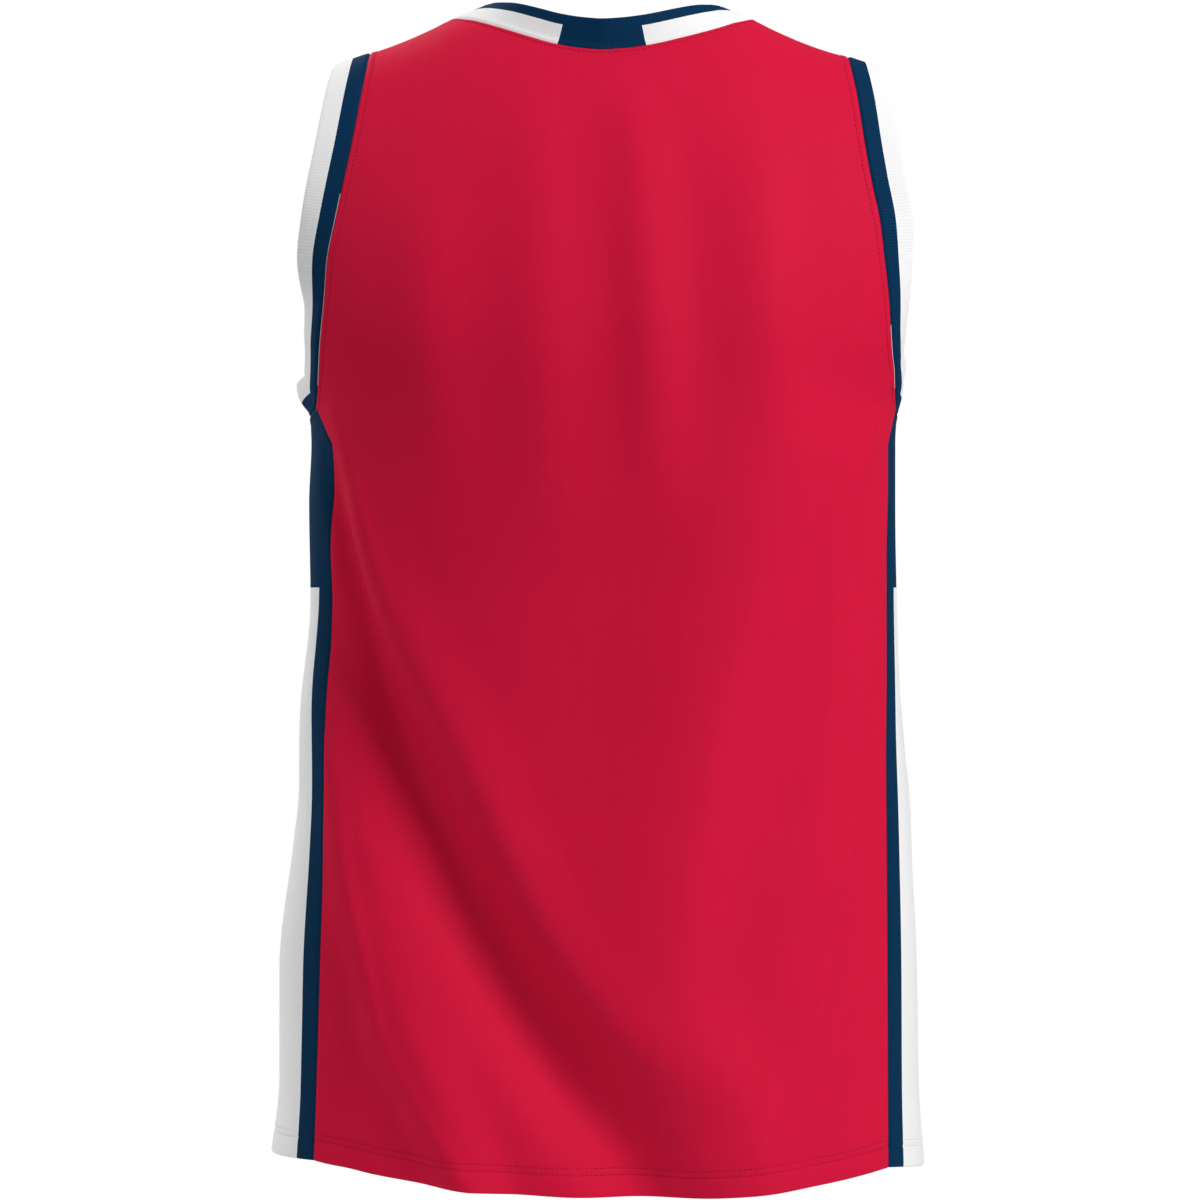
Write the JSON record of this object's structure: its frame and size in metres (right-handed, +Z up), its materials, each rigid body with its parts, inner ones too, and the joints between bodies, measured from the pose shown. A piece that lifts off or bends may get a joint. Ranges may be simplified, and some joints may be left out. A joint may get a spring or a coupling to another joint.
{
  "type": "basketball jersey",
  "caption": "Sleeveless knit jersey, filled out with nobody in it: plain back and front panels, two-tone side panels, rib collar and rib armhole trims.",
  "frame": {"origin": "on the middle plane, between the shoulders and level with the strap tops, where a wearer's shoulders hold the jersey up", "axes": "+Z up; the front of the jersey faces -Y and its back faces +Y; the wearer's left is +X"},
  "size_m": [0.422, 0.2704, 0.7517],
  "materials": {
    "red_knit": "matt polyester knit",
    "side_knit": "matt polyester knit, white with navy areas",
    "white_rib": "matt rib knit, white with a navy edge",
    "navy_rib": "matt rib knit, half navy and half white"
  },
  "bodies": {
    "root": {"back_panel": "red_knit", "front_panel": "red_knit", "side_panel_left": "side_knit", "side_panel_right": "side_knit", "collar_band": "white_rib", "armhole_trim_left": "navy_rib", "armhole_trim_right": "navy_rib"}
  },
  "joints": []
}
